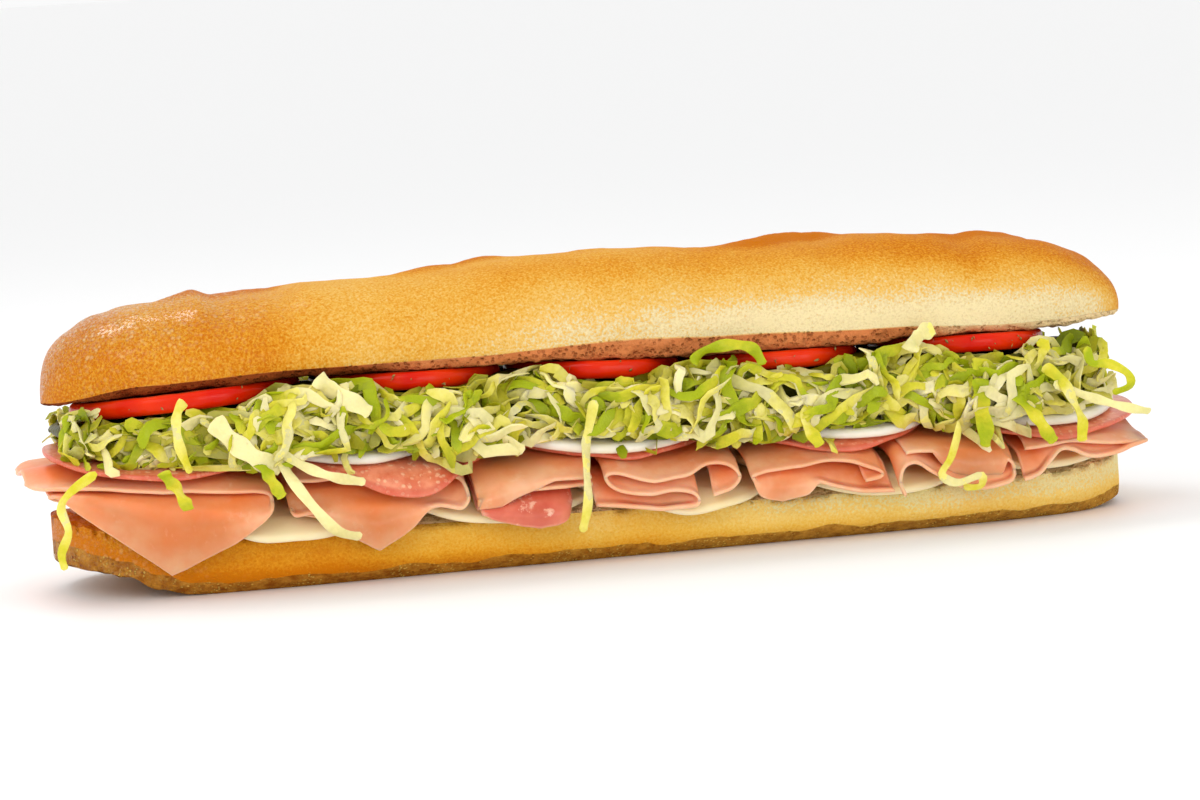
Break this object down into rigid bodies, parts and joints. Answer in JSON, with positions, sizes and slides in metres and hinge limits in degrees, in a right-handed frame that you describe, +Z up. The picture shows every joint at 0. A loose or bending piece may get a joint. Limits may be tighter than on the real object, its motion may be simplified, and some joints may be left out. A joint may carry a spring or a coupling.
{
  "type": "submarine sandwich",
  "caption": "Long split roll filled with cheese slices, folded ham, capicola, salami, onion, shredded lettuce and tomato slices.",
  "frame": {"origin": "middle of the flat underside of the lower half of the roll, on the table", "axes": "+X along the roll, -Y towards the open front from which the fillings show, +Z up"},
  "size_m": [0.3091, 0.092, 0.0806],
  "materials": {
    "crust": "golden brown baked crust, satin",
    "cheese": "pale cream cheese, smooth",
    "ham": "moist pink cooked ham",
    "capicola": "moist marbled cured pork",
    "salami": "speckled cured sausage",
    "onion": "wet white onion",
    "lettuce": "crisp shredded lettuce, pale ribs to green leaf",
    "tomato": "glossy red tomato"
  },
  "bodies": {
    "root": {"bun_bottom": "crust", "cheese_1": "cheese", "cheese_2": "cheese", "cheese_3": "cheese", "cheese_4": "cheese", "cheese_5": "cheese", "ham_1": "ham", "ham_2": "ham", "capicola": "capicola", "ham_3": "ham", "ham_4": "ham", "ham_5": "ham", "ham_6": "ham", "ham_7": "ham", "salami_1": "salami", "salami_2": "salami", "salami_3": "salami", "salami_4": "salami", "salami_5": "salami", "onion_1": "onion", "onion_2": "onion", "onion_3": "onion", "onion_4": "onion", "lettuce": "lettuce", "tomato_1": "tomato", "tomato_2": "tomato", "tomato_3": "tomato", "tomato_4": "tomato", "tomato_5": "tomato", "bun_top": "crust"}
  },
  "joints": []
}
